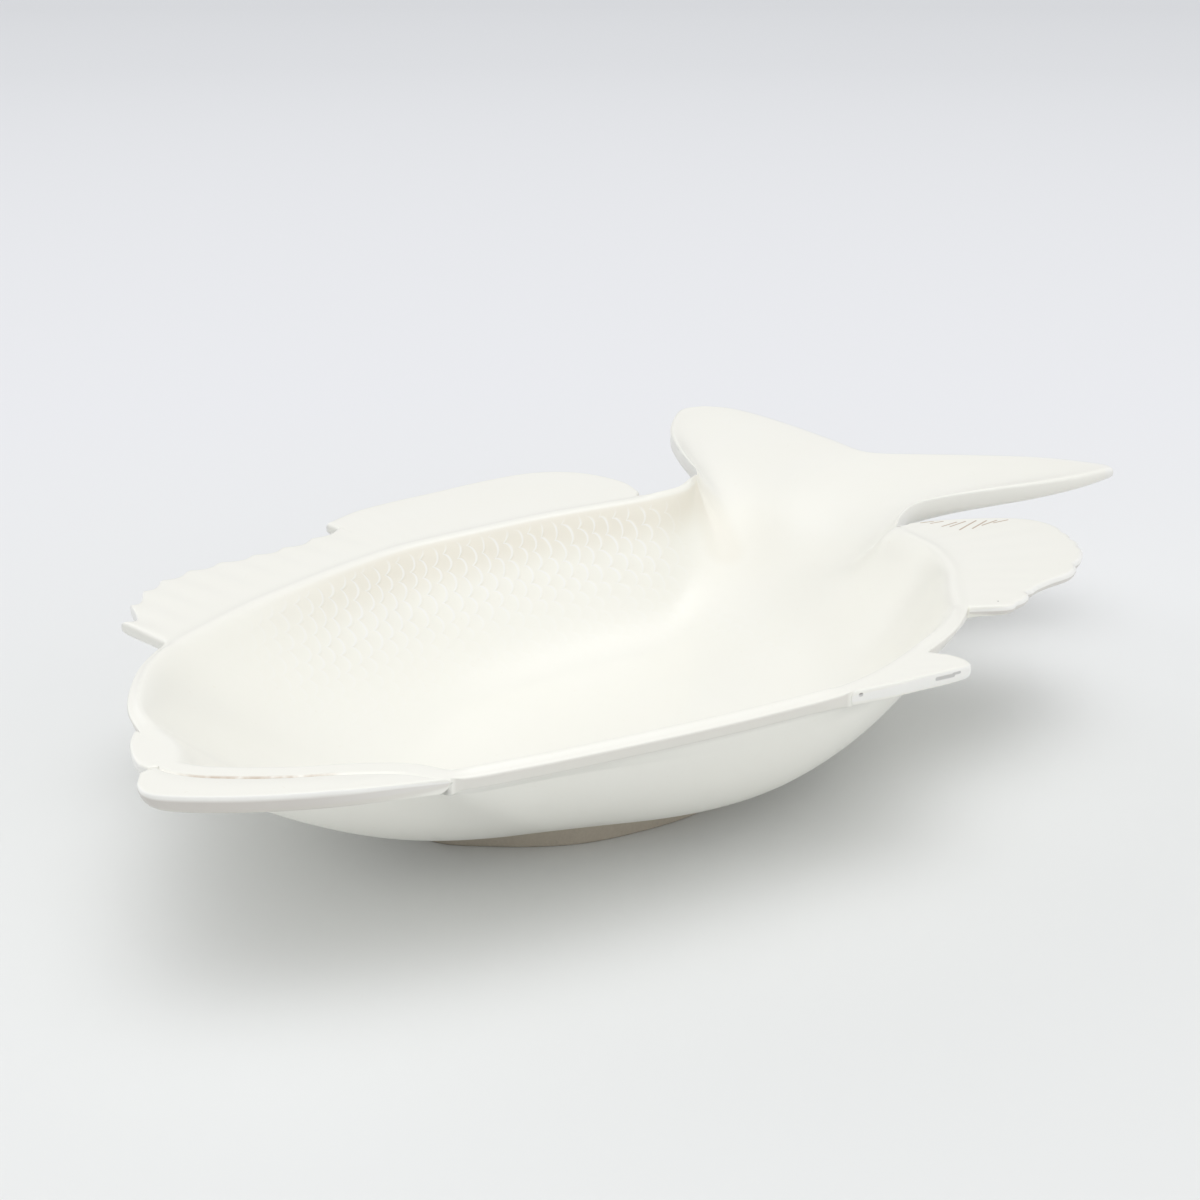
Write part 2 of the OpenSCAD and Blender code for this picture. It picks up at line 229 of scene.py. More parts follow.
def glaze_on_clay(bench, where):
    """Colour, roughness, waviness and coat that all the glaze shares."""
    cloud = bench.grain(where, 26.0, 3.0)
    speckle = bench.grain(where, 620.0)
    colour = bench.blend(cloud.rise(0.35, 0.7) * 0.5, CREAM, CREAM_CLOUD)
    colour = bench.blend(speckle.rise(0.68, 0.78) * 0.25, colour, POOLED_GLAZE_AND_SHADE)
    x, y, z = bench.parts(bench.vector("SCALE", where, scale=1000.0))
    for x0, y0, x1, y1, level, half, share, tint in MARKS:
        run_x, run_y = x1 - x0, y1 - y0
        on = (((x - x0) * run_x + (y - y0) * run_y) / (run_x**2 + run_y**2)).most(0).least(1)
        off_x, off_y = x - x0 - on * run_x, y - y0 - on * run_y
        off_z = 0.0 if level is None else z - level
        off = (off_x * off_x + off_y * off_y + off_z * off_z) ** 0.5
        colour = bench.blend((1 - off.rise(0.4 * half, half)) * share, colour, tint)
    wave = bench.grain(where, 38.0) * 0.5 + bench.grain(where, 170.0) * 0.06
    off_x, off_y = x - SATIN_AT[0], y - SATIN_AT[1]
    satin = 1 - ((off_x * off_x + off_y * off_y) ** 0.5).rise(0.3 * SATIN_REACH, SATIN_REACH)
    # Painted shade that dims the highlight in the corner, on top of the satin roughness
    colour = bench.blend(satin * 0.25, colour, SATIN_SHADE)
    rough = GLAZE_ROUGH + bench.grain(where, 90.0) * 0.08 + satin * 0.25
    return colour, rough, wave, (1 - satin) * GLAZE_COAT


def wavy_normal(bench, wave):
    return bench.add("ShaderNodeBump", None, {"Height": wave, "Distance": WAVE_DEPTH, "Strength": 0.5})


def fin_finish(name):
    """Glaze that is thin on the fins' edges and brown where it breaks, with painted shade on faces that lean
    under.
    """
    material, bench, where = new_material(name)
    colour, rough, wave, coat = glaze_on_clay(bench, where)
    streaky = bench.grain(where, 210.0).rise(0.25, 0.65)
    colour = bench.blend(bench.fact("ray_out").rise(0.955, 0.985) * 0.6, colour, THIN_GLAZE_AND_GLINT)
    colour = bench.blend(bench.fact("brown") * streaky * 0.8, colour, BREAK_BROWN)
    # Painted shade on faces that lean under
    colour = bench.blend(bench.fact("face") * 0.62, colour, FACE_SHADE)
    surface(bench, colour, rough, wavy_normal(bench, wave), coat)
    return material


def dish_finish(name):
    """Glaze that pools between the scales and is thin on their edges, with a painted highlight along those
    edges, and painted shade under the far rim and on the rim's face.
    """
    material, bench, where = new_material(name)
    colour, rough, wave, coat = glaze_on_clay(bench, where)
    place, strength = bench.fact("scale_place", "Vector"), bench.fact("scale_strength")
    height, line = scale_tiles(bench, place)
    # Painted shade in a band under the far rim
    colour = bench.blend(bench.fact("under_rim") * 0.65, colour, POOLED_GLAZE_AND_SHADE)
    # Painted shade on the free rim's outer face
    colour = bench.blend(bench.fact("rim_face") * 0.28, colour, FACE_SHADE)
    colour = bench.blend(strength * (1 - height).rise(0.1, 0.9) * 0.2, colour, POOLED_GLAZE_AND_SHADE)
    # Thin glaze and a painted highlight along the scales' free edges
    colour = bench.blend(strength * line.rise(0.55, 1) * 0.75, colour, THIN_GLAZE_AND_GLINT)
    normal = bench.add("ShaderNodeBump", None, {
        "Height": height * strength, "Distance": TILE_DEPTH, "Strength": 0.5,
        "Normal": wavy_normal(bench, wave)})
    surface(bench, colour, rough, normal, coat)
    return material


def foot_finish(name):
    """Glaze that ends in a wandering line above the foot's bare, gritty underside."""
    material, bench, where = new_material(name)
    colour, rough, wave, coat = glaze_on_clay(bench, where)
    _, _, z = bench.parts(where)
    bare = 1 - (z + bench.grain(where, 55.0, 3.0) * 0.002).rise(*GLAZE_LINE)
    grit = bench.grain(where, 900.0, 3.0)
    colour = bench.blend(bare, colour, bench.blend(grit, BARE, BARE_GRIT))
    normal = bench.add("ShaderNodeBump", None, {
        "Height": wave * (1 - bare) + grit * bare * 0.4, "Distance": WAVE_DEPTH, "Strength": 0.6})
    surface(bench, colour, rough * (1 - bare) + bare * 0.85, normal, (1 - bare) * coat)
    return material


dish_glaze = dish_finish("glaze over pressed scales")
fin_glaze = fin_finish("glaze on the fins")
foot_glaze = foot_finish("glazed foot with bare underside")

# ---------------------------------------------------------------- sizes and outlines
# Millimetres, and outlines in shares of the length and the width. They are the part's own, fitted closer
# to the photograph where the lips and fins start and end.
LENGTH, WIDTH, RIM_H = 500.0, 292.0, 73.5
WALL_T, FLOOR_T, RIDGE_H, RIDGE_W = 5.5, 5.5, 1.25, 7.0
FOOT_H, FOOT_W, FOOT_ROUNDING = 10.0, 7.0, 1.0
ANAL_T, SPINE_DROOP, SPINE_NOTCH, SPINES = 4.0, 1.5, 3.5, 9
CHANNEL, SKIRT, TIP_RISE = 27.0, 4.0, 1.5
EDGE_Z, FLOOR_Z = RIM_H - RIDGE_H, FOOT_H + FLOOR_T
STEPS = 16  # columns for each stretch of the dish's outline
EDGE_R, RIM_R, LEAST_R = 1.9, 1.1, 0.03  # rounding of the fins' edges, of the rim's, and of the rim under a fin
RIM_LEAN = 1.6  # how far the rim's face leans under

BODY = [
    (0.719, 0.219), (0.679, 0.206), (0.635, 0.222), (0.593, 0.248), (0.539, 0.281),
    (0.482, 0.306), (0.430, 0.327), (0.392, 0.338), (0.335, 0.338), (0.283, 0.331),
    (0.234, 0.321), (0.188, 0.303), (0.148, 0.283), (0.112, 0.248), (0.083, 0.199),
    (0.062, 0.149), (0.049, 0.094), (0.043, 0.049), (0.028, 0.007), (0.035, -0.034),
    (0.053, -0.075), (0.076, -0.117), (0.102, -0.156), (0.123, -0.197), (0.136, -0.246),
    (0.177, -0.285), (0.226, -0.323), (0.281, -0.363), (0.343, -0.404), (0.402, -0.437),
    (0.449, -0.446), (0.498, -0.441), (0.549, -0.429), (0.592, -0.403), (0.627, -0.363),
    (0.665, -0.320), (0.695, -0.264), (0.710, -0.209), (0.719, -0.157), (0.723, -0.085),
    (0.724, -0.007), (0.724, 0.072), (0.722, 0.146)]
SOFT_ROOT, SPINY_ROOT, LIP_ROOT, JAW_ROOT = (2, 7), (7, 12), (16, 18), (18, 24)
PELVIC_ROOT, ANAL_ROOT, TAIL_ROOT = (29, 31), (33, 38), (38, 43)
SOFT = [(0.646, 0.235), (0.659, 0.287), (0.658, 0.350), (0.644, 0.402), (0.616, 0.439),
        (0.570, 0.462), (0.520, 0.477), (0.474, 0.492), (0.436, 0.498), (0.398, 0.487)]
SPINY = [(0.397, 0.458), (0.348, 0.452), (0.306, 0.462), (0.263, 0.478), (0.222, 0.478),
         (0.188, 0.451), (0.154, 0.397)]
LIP = [(0.047, 0.100), (0.036, 0.080), (0.027, 0.054), (0.022, 0.030), (0.022, 0.013)]
JAW = [(0.013, 0.004), (0.002, -0.020), (0.001, -0.048), (0.019, -0.090), (0.046, -0.138),
       (0.082, -0.188), (0.134, -0.2445)]
PELVIC = [(0.4025, -0.4385), (0.432, -0.461), (0.463, -0.481), (0.484, -0.495),
          (0.498, -0.500), (0.504, -0.483), (0.501, -0.456)]
ANAL = [(0.5922, -0.4055), (0.617, -0.442), (0.644, -0.442), (0.665, -0.434),
        (0.688, -0.437), (0.715, -0.444), (0.745, -0.430), (0.774, -0.409), (0.795, -0.373),
        (0.810, -0.334), (0.812, -0.297), (0.799, -0.258), (0.774, -0.216), (0.748, -0.181),
        (0.728, -0.165)]
TAIL_NEAR = [(0.719, -0.157), (0.753, -0.131), (0.789, -0.119), (0.824, -0.137),
             (0.866, -0.174), (0.909, -0.216), (0.953, -0.252), (0.994, -0.275)]
TAIL_FAR = [(0.719, 0.219), (0.740, 0.248), (0.763, 0.300), (0.793, 0.363), (0.827, 0.424),
            (0.866, 0.471), (0.898, 0.496), (0.923, 0.479)]
TAIL_REAR = [(0.994, -0.275), (1.000, -0.248), (0.984, -0.157), (0.951, -0.069),
             (0.919, 0.004), (0.896, 0.059), (0.892, 0.098), (0.904, 0.160), (0.921, 0.258),
             (0.934, 0.359), (0.936, 0.431), (0.923, 0.479)]
FOOT = [(0.246, 0.006), (0.272, -0.073), (0.313, -0.144), (0.363, -0.187), (0.414, -0.210),
        (0.467, -0.207), (0.508, -0.166), (0.535, -0.100), (0.546, -0.022), (0.538, 0.051),
        (0.504, 0.095), (0.448, 0.119), (0.387, 0.123), (0.329, 0.109), (0.282, 0.071)]
CENTRE, REACHES, FLOOR_SHARE = (0.391, -0.124), (0.163, 0.025, 0.08, -0.025, -0.01), 0.92
BOWL_POWER, TAIL_POWER, BACK_POWER, ROOT_POWER = 2.25, 0.75, 0.25, 1.5
BANK_POWER, FADE_POWER, ROOT_FALL = 2.6, 1.7, 0.5
FAR_BANK_MORE = 1.6  # the far bank stands steeper where it leaves the dish
CORNER_NARROWING, NARROWING_REACH = 5.0, 11  # mm that the ridge narrows at the far corner, over so many columns


def place(shares):
    """Millimetres on the plan, from shares of the length and the width."""
    return (np.array(shares, float) - (0.5, 0)) * (LENGTH, WIDTH)


def stretch(a, b, c, d, t):
    """A smooth curve through points: the stretch from b to c."""
    return (2 * b + (c - a) * t + (2 * a - 5 * b + 4 * c - d) * t**2 + (3 * b - a - 3 * c + d) * t**3) / 2


def closed_curve(points, steps):
    t = np.arange(steps)[None, :, None] / steps
    a, b, c, d = (np.roll(points, s, 0)[:, None] for s in (1, 0, -1, -2))
    return stretch(a, b, c, d, t).reshape(-1, 2)


def on_curve(points, t):
    p = np.vstack([2 * points[0] - points[1], points, 2 * points[-1] - points[-2]])
    n = len(points) - 1
    i = np.clip((t * n).astype(int), 0, n - 1)
    return stretch(p[i], p[i + 1], p[i + 2], p[i + 3], (t * n - i)[:, None])


def smooth_rise(x, low, high):
    x = np.clip((x - low) / (high - low), 0, 1)
    return x * x * (3 - 2 * x)


def bell(x, middle, spread):
    """1 at the middle, falling smoothly to both sides."""
    return np.exp(-((x - middle) / spread) ** 2)


def length_of(v):
    return np.linalg.norm(v, axis=-1)


def outline_inward(points):
    t = np.roll(points, -1, 0) - np.roll(points, 1, 0)
    return np.column_stack([-t[:, 1], t[:, 0]]) / length_of(t)[:, None]


body = closed_curve(place(BODY), STEPS)
COUNT = len(body)
inward = outline_inward(body)
at = np.arange(COUNT) / STEPS


def within(span):
    """0 outside a span of the outline, rising to 1 over one stretch at both of its ends."""
    return np.clip(np.minimum(at - span[0], span[1] - at), 0, 1)


def channel(t, v=0.0):
    """Share of the channel's depth across the tail's root, at t, and out along the tail, at v."""
    bank = BANK_POWER + FAR_BANK_MORE * (t > 0.5) * (1 - v) ** 2
    return np.where((t <= 0) | (t >= 1), 0, 1 - np.abs(2 * t - 1) ** bank)


root_channel = channel((at - TAIL_ROOT[0]) / (TAIL_ROOT[1] - TAIL_ROOT[0]))
edge_height = EDGE_Z - CHANNEL * root_channel
rim_height = edge_height - ROOT_FALL * RIDGE_W * root_channel
ridge_height = RIDGE_H * (1 - within(TAIL_ROOT)) * (1 - within((LIP_ROOT[0], JAW_ROOT[1])))
centre = place([CENTRE])[0]
from_corner = np.minimum(np.arange(COUNT), COUNT - np.arange(COUNT))
ridge_w = RIDGE_W - CORNER_NARROWING * bell(from_corner, 0, NARROWING_REACH)
rim = body + inward * ridge_w[:, None]
spoke = rim - centre
turn = np.arctan2(spoke[:, 1] / WIDTH, spoke[:, 0] / LENGTH)
waves = np.array([np.ones(COUNT), np.cos(turn), np.sin(turn), np.cos(2 * turn), np.sin(2 * turn)])
flat_edge = np.array(REACHES) @ waves / np.hypot(spoke[:, 0] / LENGTH, spoke[:, 1] / WIDTH)
floor_edge = flat_edge * FLOOR_SHARE
power = BOWL_POWER + TAIL_POWER * np.cos(turn) + BACK_POWER * np.sin(turn)
power = power * (1 - root_channel) + ROOT_POWER * root_channel

# Where a fin, a lip or the tail grows from the edge, and how far the rest of the edge is from there
attached = np.zeros(COUNT, bool)
for low, high in (SOFT_ROOT, SPINY_ROOT, LIP_ROOT, JAW_ROOT, PELVIC_ROOT, ANAL_ROOT, TAIL_ROOT):
    attached |= (at >= low) & (at <= high)
attached[0] = True
near = np.array([np.min(length_of(body[attached] - p)) for p in body])
free_r = LEAST_R + (RIM_R - LEAST_R) * np.clip(near / 4, 0, 1)
past_jaw = (at > JAW_ROOT[1]) & (at < JAW_ROOT[1] + 3)
lean = RIM_LEAN * np.clip(near / np.where(past_jaw, 2, 16), 0, 1)
ridge_height = ridge_height * (0.35 + 0.65 * np.clip(near / 8, 0, 1))


def raised(plan, z):
    """Points of a plan with their heights."""
    return np.concatenate([plan, np.broadcast_to(z, plan.shape[:-1])[..., None]], -1)


def rising(k):
    """0 on the floor, rising to 1 at the rim."""
    return np.clip((k - floor_edge) / (1 - floor_edge), 0, 1)


def wall_plan(k):
    return centre + spoke * np.broadcast_to(k, (COUNT,))[:, None]


def upper_ring(k):
    """A ring of the inside, at a share of the way from the middle to the rim."""
    return raised(wall_plan(k), FLOOR_Z + (rim_height - FLOOR_Z) * rising(k) ** power)


def lower_ring(k):
    """The ring outside it, a wall's thickness away."""
    steep = (rim_height - FLOOR_Z) * power * rising(k) ** (power - 1) / (1 - floor_edge)
    steep = steep / length_of(spoke)
    ring = upper_ring(k)
    ring[:, 2] -= WALL_T * np.sqrt(1 + steep**2)
    return ring


def soften_round(ring, sigma):
    """Softens a ring around the dish, over sigma columns."""
    if sigma < 0.3:
        return ring
    reach = int(3 * sigma) + 1
    weights = np.exp(-0.5 * (np.arange(-reach, reach + 1) / sigma) ** 2)
    weights /= weights.sum()
    padded = np.vstack([ring[-reach:], ring, ring[:reach]])
    return np.column_stack([np.convolve(padded[:, c], weights, "valid") for c in range(3)])


def even_shares(count):
    """Shares of the wall's run that lie evenly along the curve of a middling wall."""
    run, rise, curve = 75, 57, 2.5
    s = np.linspace(0, 1, 400)
    path = np.concatenate([[0], np.cumsum(np.hypot(np.diff(s * run), np.diff(rise * s**curve)))])
    return np.interp(np.linspace(0, path[-1], count), path, s)


# ---------------------------------------------------------------- the dish, ring by ring
FLOOR_RINGS, WALL_RINGS, OUTER_RINGS = 16, 58, 34
INNER_SOFT, OUTER_SOFT = 21, 15  # columns over which the rings are softened
CORNER_SOFT, CORNER_REACH = 15, 18  # the same for the plan of the far corner, and how far it reaches
UNDER_RINGS = ((1, 14), (0.8, 16), (0.5, 16), (0.2, 16))  # share of the way out, columns of softening
RIDGE_SHARES = (0.88, 0.76, 0.64, 0.52, 0.4, 0.28, 0.14)  # from the wall over the ridge to the edge
BROW_PULL = (0.1, 0.3, 0.6, 0.9, 1, 1, 0.8, 0.4)  # how much each ring around the brow is rounded over
BROW_ROUNDS = 8

rings = []
for k in np.linspace(0, 1, FLOOR_RINGS + 1)[1:-1]:
    rings.append(soften_round(upper_ring(floor_edge * k), INNER_SOFT))
corner_share = bell(from_corner, 0, CORNER_REACH)[:, None]
for s in even_shares(WALL_RINGS):
    ring = upper_ring(floor_edge + (1 - floor_edge) * s)
    ring[:, :2] += (soften_round(ring, CORNER_SOFT) - ring)[:, :2] * corner_share * min(1, (1 - s) / 0.2)
    rings.append(soften_round(ring, INNER_SOFT * (1 - s) ** 0.5))
brow = len(rings) - 1
for s in RIDGE_SHARES:
    rings.append(raised(body + inward * (free_r * (1 - s) + ridge_w * s)[:, None],
                        edge_height * (1 - s) + rim_height * s + ridge_height * np.sin(np.pi * s) ** 1.9))
for turned in np.radians([0, 22.5, 45, 67.5, 90]):
    rings.append(raised(body + inward * (free_r * (1 - np.sin(turned)))[:, None],
                        edge_height - free_r * (1 - np.cos(turned))))
top_corner = len(rings) - 1
for turned in np.radians([0, 25, 50, 75]):
    rings.append(raised(body + inward * (lean + 0.9 * free_r * (1 - np.cos(turned)))[:, None],
                        edge_height - WALL_T + 0.9 * free_r * (1 - np.sin(turned))))
rings.append(raised(body + inward * (RIDGE_W * 0.5), edge_height - WALL_T - 2.2))
for s in even_shares(OUTER_RINGS)[::-1]:
    k = flat_edge + (1 - flat_edge) * s * 0.985
    rings.append(soften_round(lower_ring(k), OUTER_SOFT * (1 - s) ** 0.35))
for k, columns in UNDER_RINGS:
    rings.append(soften_round(raised(wall_plan(flat_edge * k), FOOT_H), columns))
dish = np.array(rings)

# Round over the brow where the ridge meets the wall
pull = np.zeros(len(dish))
pull[brow - 5:brow + 3] = BROW_PULL
for _ in range(BROW_ROUNDS):
    mid = (np.roll(dish, 1, 0) + np.roll(dish, -1, 0)) / 2
    dish += (mid - dish) * (pull * 0.5)[:, None, None]


# ---------------------------------------------------------------- the fins, the lips and the tail
SIDE_COLUMNS = np.array([0.06, 0.3, 0.65])  # places of the extra columns close to both ends of a root
EDGE_ROWS = np.array([2.4, 1.4, 0.7, 0.25, 0.0])  # mm from the outer edge
NICK_SHARE = 0.013  # half width of a nick, as a share of the fin's edge


def root_columns(span):
    """Places along a root as column numbers, with a few more close to both ends."""
    first, last = span[0] * STEPS, span[1] * STEPS
    whole = np.arange(first, last + 1, dtype=float)
    return np.unique(np.concatenate([whole, first + SIDE_COLUMNS, last - SIDE_COLUMNS]))


def root_points(columns):
    low = np.floor(columns).astype(int)
    part = (columns - low)[:, None]
    return body[low % COUNT] * (1 - part) + body[(low + 1) % COUNT] * part


def edge_drop(distance, radius):
    """How far a rounded edge falls at a distance from where it ends."""
    inside = np.clip(distance, 0, radius)
    return radius - np.sqrt(np.maximum(0, radius**2 - (radius - inside) ** 2))


def fin_grid(span, shares, rows=14, notches=0, cut=0.0, joined=(0, 0), nicks=()):
    """Plan of a fin between its root and its edge, the distance to its free edges, t and v.

    joined is the share of its first and its last side that another fin covers. Over 1, none of it is free."""
    columns = root_columns(span)
    t = (columns - columns[0]) / (columns[-1] - columns[0])
    root = root_points(columns)
    edge = on_curve(place(shares), t)
    way = root - edge
    run = length_of(way)
    if notches:
        deeper = 0.75 + 0.4 * t + 1.3 * smooth_rise(t, 0.8, 0.95)
        bite = cut * np.abs(np.sin(np.pi * notches * t)) * deeper
        edge = edge + way / run[:, None] * np.minimum(bite, run / 2)[:, None]
        run = length_of(root - edge)
    for nick_t, nick_depth in nicks:
        edge = edge + way / run[:, None] * (nick_depth * bell(t, nick_t, NICK_SHARE))[:, None]
    run = length_of(root - edge)
    back = np.clip(1 - EDGE_ROWS[None, :] / np.maximum(run, 6)[:, None], 0.5, 1)
    v = np.concatenate([np.linspace(0, 1, rows)[None, :-1] * back[:, :1], back], 1)
    plan = root[:, None] * (1 - v[..., None]) + edge[:, None] * v[..., None]
    clear = (1 - v) * run[:, None]
    for side, covered in zip((0, -1), joined):
        for free in plan[side][v[side] >= covered]:
            clear = np.minimum(clear, length_of(plan - free))
    return columns, t[:, None] + 0 * v, v, plan, clear


def fin(span, shares, notches=0, edge_t=WALL_T, droop=0.0, joined=(0, 0), nicks=()):
    """A fin that grows level from the rim, with notches or nicks in its edge and a tip that may droop."""
    columns, t, v, plan, clear = fin_grid(span, shares, notches=notches, cut=SPINE_NOTCH,
                                          joined=joined, nicks=nicks)
    level = EDGE_Z - droop * v * t**2
    thick = WALL_T * (1 - v) + edge_t * v
    upper = raised(plan, level - edge_drop(clear, EDGE_R))
    lower = raised(plan, level - thick + edge_drop(clear, min(EDGE_R, edge_t / 2.4)))
    return dict(columns=columns, t=t, v=v, upper=upper, lower=lower)


def lip(span, shares, swell, outer, groove, under):
    """A rolled lip: its top's swell, its outer edge's rise, its groove, its rounding below, in millimetres."""
    columns, t, v, plan, clear = fin_grid(span, shares, rows=30)
    end = np.minimum(1, 5 * (1 - t))
    top = swell * np.sin(np.pi * v) ** 2 + outer * v - groove * bell(v, 0.08, 0.05)
    upper = raised(plan, EDGE_Z + top * end - edge_drop(clear, RIM_R))
    lower = raised(plan, EDGE_Z - WALL_T + bell(t, 0, 0.3) * v + edge_drop(clear, under))
    lower[..., 2] = np.minimum(lower[..., 2], upper[..., 2] - 0.5)
    return dict(columns=columns, t=t, v=v, upper=upper, lower=lower)


def tail(rows=72):
    """The tail, spread between its root, its two lobes and its rear edge, with the channel sunk in it."""
    columns = root_columns(TAIL_ROOT)
    t = (columns - columns[0]) / (columns[-1] - columns[0])
    root = root_points(columns)
    rear = on_curve(place(TAIL_REAR), t)
    v = np.concatenate([np.linspace(0, 0.985, rows), [0.992, 0.996, 0.9985, 1]])
    sides = [on_curve(place(s), v) for s in (TAIL_NEAR, TAIL_FAR)]
    T, V = t[:, None, None], v[None, :, None]
    plan = (root[:, None] * (1 - V) + rear[:, None] * V + sides[0][None] * (1 - T) + sides[1][None] * T
            - (root[0] * (1 - T) + root[-1] * T) * (1 - V) - (rear[0] * (1 - T) + rear[-1] * T) * V)
    clear = np.minimum(length_of(plan - plan[:, -1:]),
                       np.minimum(length_of(plan - plan[:1]), length_of(plan - plan[-1:])))
    t, v = t[:, None] + 0 * v[None], v[None] + 0 * t[:, None]
    sunk = CHANNEL * channel(t, v) * (1 - v) ** FADE_POWER
    curl = TIP_RISE * ((1 - t) * v) ** 2
    drop = edge_drop(clear, EDGE_R) * np.clip(v * 30, 0, 1)
    upper = raised(plan, EDGE_Z - sunk + curl - drop)
    lower = raised(plan, EDGE_Z + curl - WALL_T - sunk - SKIRT * np.sin(np.pi * v) + drop)
    return dict(columns=columns, t=t, v=v, upper=upper, lower=lower)


# ---------------------------------------------------------------- one skin over the joins
def even_heights(points, sources, spread):
    """Heights at points when those of sources are evened out over spread millimetres."""
    low = sources[:, :2].min(0) - 4 * spread
    size = np.ceil(sources[:, :2].max(0) + 4 * spread - low).astype(int) + 1
    spot = tuple(np.round(sources[:, :2] - low).astype(int).T)
    count, height = np.zeros(size), np.zeros(size)
    np.add.at(count, spot, 1)
    np.add.at(height, spot, sources[:, 2])
    full = count > 0
    height[full] /= count[full]
    away = np.hypot(np.fft.fftfreq(size[0])[:, None], np.fft.rfftfreq(size[1])[None])
    blur = np.exp(-2 * (np.pi * away * spread) ** 2)
    evened, share = (np.fft.irfft2(np.fft.rfft2(g) * blur, size) for g in (height, full.astype(float)))
    grid = evened / np.maximum(share, 1e-4)
    near = np.clip(points[:, :2] - low, 0, size - 1.001)
    i, j = np.floor(near).astype(int).T
    u, v = (near - np.floor(near)).T
    return ((grid[i, j] * (1 - u) + grid[i + 1, j] * u) * (1 - v)
            + (grid[i, j + 1] * (1 - u) + grid[i + 1, j + 1] * u) * v)


def least_distance(points, others):
    batches = np.array_split(points, 24)
    return np.concatenate([np.sqrt(((part[:, None] - others[None]) ** 2).sum(-1).min(1)) for part in batches])


def unit(v):
    return v / np.maximum(length_of(v), 1e-12)[..., None]


def ease_joins(dish, sheet):
    """Evens the skin over the tail's root, mostly by wearing its brow down."""
    root = body[TAIL_ROOT[0] * STEPS:TAIL_ROOT[1] * STEPS]
    middle = root[int(1.2 * STEPS):]
    banks = np.vstack([on_curve(place(side), np.linspace(0.02, 1, 60)) for side in (TAIL_NEAR, TAIL_FAR)])
    free_rim = body[~attached]
    inside = dish[:top_corner + 1]
    # How far heights are evened, around what, how far from it the effect is full and gone, the most it lifts
    for spread, focus, reach, most in ((2.6, root, (4, 12), 0.0), (4.0, middle, (3, 16), 0.5)):
        upper = sheet["upper"]
        sources = np.vstack([inside.reshape(-1, 3), upper.reshape(-1, 3)])
        for skin in (inside, upper):
            flat = skin.reshape(-1, 3)
            picked = np.flatnonzero(least_distance(flat[:, :2], focus) < reach[1])
            part = flat[picked]
            share = 1 - smooth_rise(least_distance(part[:, :2], focus), *reach)
            share *= smooth_rise(least_distance(part[:, :2], banks), 0.5, 5)
            share *= smooth_rise(least_distance(part[:, :2], free_rim), 1.5, 6)
            flat[picked, 2] += share * np.clip(even_heights(part, sources, spread) - part[:, 2], -4, most)


def join_normals(form, side):
    """Normals along a root that the dish and a sheet grown from it share: its columns, and the normals."""
    ring, inner = (top_corner, top_corner - 5) if side == "upper" else (top_corner + 4, top_corner + 5)
    columns, grid = form["columns"], form[side]
    low = np.floor(columns).astype(int)
    part = (columns - low)[:, None]

    def at_ring(r):
        return dish[r, low % COUNT] * (1 - part) + dish[r, (low + 1) % COUNT] * part

    seam = at_ring(ring)
    along = np.gradient(seam, axis=0)
    both = sum(unit(np.cross(along, way)) for way in (seam - at_ring(inner), grid[:, 1] - grid[:, 0]))
    both = unit(both)
    up = 1 if side == "upper" else -1
    return columns, both * np.where(both[:, 2:] * up < 0, -1, 1)


def share_normals():
    """Gives both sides of every join the same normals, so that no line shows there."""
    kept = {name: np.zeros((len(piece.data.vertices), 3)) for name, piece in pieces.items()}
    for name, form in grown.items():
        n, m = form["upper"].shape[:2]
        for side in ("upper", "lower"):
            columns, normals = join_normals(form, side)
            inner = slice(1, -1)  # the ends of a root keep their own normals
            offset = 0 if side == "upper" else n * m
            kept[name][offset + np.arange(n)[inner] * m] = normals[inner]
            whole = np.flatnonzero(np.abs(columns - np.round(columns)) < 1e-6)[inner]
            numbers = np.round(columns[whole]).astype(int) % COUNT
            low, high = (-4, 1) if side == "upper" else (1, 5)
            for r in range(top_corner + low, top_corner + high):
                kept["dish"][r * COUNT + numbers] = normals[whole]
    # The side that the two back fins share is level
    for name, side in (("spiny_fin", 0), ("soft_fin", -1)):
        n, m = grown[name]["upper"].shape[:2]
        rows = np.flatnonzero(grown[name]["v"][side] < 0.7)[1:]
        first = (n - 1) * m if side else 0
        kept[name][first + rows] = (0, 0, 1)
        kept[name][n * m + first + rows] = (0, 0, -1)
    for name in ("dish", *grown):
        pieces[name].data.normals_split_custom_set_from_vertices(kept[name].tolist())


# ---------------------------------------------------------------- meshes
def pad_quads(rows, columns, offset, closed=False):
    """Faces between the points of a grid, or of stacked rings if closed."""
    i = np.arange(columns if closed else columns - 1)
    j = (i + 1) % columns
    r = np.arange(rows - 1)[:, None] * columns
    return np.stack([r + i, r + j, r + columns + j, r + columns + i], -1).reshape(-1, 4) + offset


def make_mesh(name, points, faces, facts):
    """A mesh in metres whose faces point outwards; facts are named numbers for each point."""
    volume = 0.0
    for f in faces:
        p = points[f]
        for k in range(1, f.shape[1] - 1):
            volume += np.einsum("ij,ij->i", p[:, 0], np.cross(p[:, k], p[:, k + 1])).sum()
    if volume < 0:
        faces = [f[:, ::-1] for f in faces]
    mesh = bpy.data.meshes.new(name)
    mesh.from_pydata((points * 0.001).tolist(), [], [tuple(q) for f in faces for q in f.tolist()])
    for key, values in facts.items():
        values = np.asarray(values, np.float32)
        flavour = "FLOAT_VECTOR" if values.ndim == 2 else "FLOAT"
        layer = mesh.attributes.new(key, flavour, "POINT")
        layer.data.foreach_set("vector" if values.ndim == 2 else "value", values.ravel())
    piece = bpy.data.objects.new(name, mesh)
    scene.collection.objects.link(piece)
    return piece


